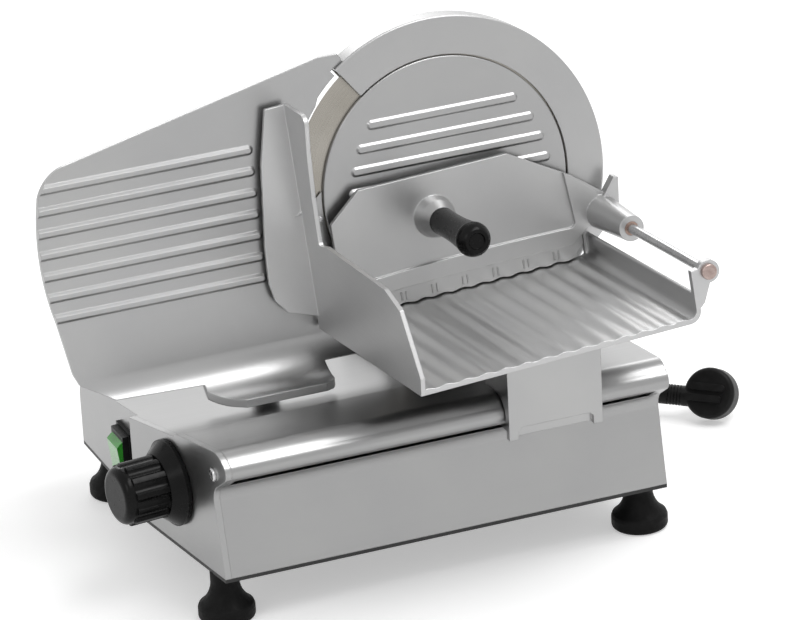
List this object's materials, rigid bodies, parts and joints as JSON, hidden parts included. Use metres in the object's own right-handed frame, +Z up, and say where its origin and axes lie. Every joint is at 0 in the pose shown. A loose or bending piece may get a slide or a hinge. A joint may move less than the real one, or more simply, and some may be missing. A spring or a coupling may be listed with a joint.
{
  "type": "electric gravity-feed meat slicer",
  "caption": "Electric food slicer with a leaning round blade, sliding ribbed table, swinging pusher with a black handle, ribbed gauge plate set by a knob, round rubber feet and a mains lead.",
  "frame": {"origin": "on the worktop under the middle of the machine's box, without its lead", "axes": "+X from the operator's end to the rear, along the table's travel; -Y the side the table hangs over; +Z up"},
  "size_m": [0.594, 0.5212, 0.4022],
  "materials": {
    "base_aluminium": "satin, fine vertical brush marks",
    "table_aluminium": "satin",
    "pusher_aluminium": "satin",
    "gauge_aluminium": "satin anodised",
    "guard_aluminium": "satin anodised",
    "cover_aluminium": "satin anodised",
    "blade_steel": "ground, circular marks",
    "steel_sheet": "brushed",
    "cast_grey": "as cast",
    "bright_steel": "polished",
    "bolt_bronze": "satin",
    "bronze": "satin",
    "black_paint": "semi-gloss",
    "black_rubber": "matte",
    "belt_rubber": "matte",
    "black_gloss": "gloss",
    "black_matte": "matte",
    "switch_green": "gloss, translucent",
    "cord_black": "matte",
    "cable_grey": "matte",
    "motor_paint": "semi-gloss",
    "board_green": "matte"
  },
  "bodies": {
    "base": {"base_housing": "base_aluminium", "knob_panel": "base_aluminium", "bottom_plate": "black_paint", "feet": "black_rubber", "foot_bolts": "bright_steel", "guide_rod": "bright_steel", "rod_screws": "bright_steel", "drive_housing": "base_aluminium", "blade_spindle": "bright_steel", "cover_disc": "cover_aluminium", "cover_tie_rod": "bright_steel", "cover_knob": "black_gloss", "blade_guard": "guard_aluminium", "guard_screws": "bright_steel", "lower_shield": "black_matte", "shield_pin": "bright_steel", "slice_deflector": "steel_sheet", "motor_body": "motor_paint", "motor_screws": "bright_steel", "drive_belt": "belt_rubber", "motor_cover": "base_aluminium", "top_screws": "bright_steel", "capacitor": "cast_grey", "control_board": "board_green", "gauge_rod": "bright_steel", "switch_frame": "black_matte", "cable_gland": "black_matte", "strain_relief": "cord_black", "cord_lead": "cable_grey", "cord_coil": "cable_grey", "cord_tail": "cable_grey", "plug": "cord_black", "plug_pins": "bright_steel"},
    "blade": {"blade": "blade_steel", "blade_screws": "bright_steel", "blade_pulley": "cast_grey", "blade_bearings": "bright_steel"},
    "motor_rotor": {"motor_shaft": "bright_steel", "motor_pulley": "cast_grey"},
    "gauge": {"gauge_plate": "gauge_aluminium", "gauge_carrier": "cast_grey", "gauge_screws": "bright_steel", "follower_pin": "bright_steel"},
    "knob": {"control_knob": "black_gloss", "index_dial": "black_gloss", "knob_shaft": "bright_steel", "cam_disc": "cast_grey"},
    "switch": {"switch_rocker": "switch_green"},
    "table": {"carriage_table": "table_aluminium", "table_screws": "bright_steel", "carriage_arm": "table_aluminium", "carriage_bushes": "bronze", "roller_pin": "bright_steel", "pusher_rod": "bright_steel", "rod_bolt": "bolt_bronze"},
    "roller": {"support_roller": "black_matte"},
    "pusher_carrier": {"pusher_bush": "bronze"},
    "pusher": {"meat_pusher": "pusher_aluminium", "handle_stud": "bright_steel", "handle_grip": "black_gloss"}
  },
  "joints": [
    {"name": "table_slide", "type": "slide", "parent": "base", "child": "table", "axis": [1, 0, 0], "range_m": [-0.2, 0.035]},
    {"name": "roller_spin", "type": "hinge", "parent": "table", "child": "roller", "pos_m": [0.1153, -0.06943, 0.15321], "axis": [0, 0.99, -0.1412], "continuous": true},
    {"name": "pusher_slide", "type": "slide", "parent": "table", "child": "pusher_carrier", "axis": [0, -0.992, 0.1262], "range_m": [0, 0.13]},
    {"name": "pusher_swing", "type": "hinge", "parent": "pusher_carrier", "child": "pusher", "pos_m": [0.22108, -0.00629, 0.23047], "axis": [0, 0.992, -0.1262], "range_deg": [0, 100]},
    {"name": "blade_spin", "type": "hinge", "parent": "base", "child": "blade", "pos_m": [0.0985, 0.039, 0.2695], "axis": [0, -0.992, 0.1262], "continuous": true},
    {"name": "motor_spin", "type": "hinge", "parent": "base", "child": "motor_rotor", "pos_m": [0.0985, 0.02196, 0.13558], "axis": [0, -0.992, 0.1262], "continuous": true},
    {"name": "gauge_slide", "type": "slide", "parent": "base", "child": "gauge", "axis": [0, 0.992, -0.1262], "range_m": [0, 0.014]},
    {"name": "knob_turn", "type": "hinge", "parent": "base", "child": "knob", "pos_m": [-0.16456, -0.0233, 0.095], "axis": [-0.9924, -0.1233, 0], "range_deg": [0, 300.05]},
    {"name": "switch_rock", "type": "hinge", "parent": "base", "child": "switch", "pos_m": [-0.164, 0.0809, 0.078], "axis": [0, 1, 0], "range_deg": [0, 14]}
  ],
  "couplings": [
    {"joint": "roller_spin", "follows": "table_slide", "rad_per_m": 125},
    {"joint": "motor_spin", "follows": "blade_spin", "ratio": 2.2222},
    {"joint": "knob_turn", "follows": "gauge_slide", "rad_per_m": 374}
  ]
}
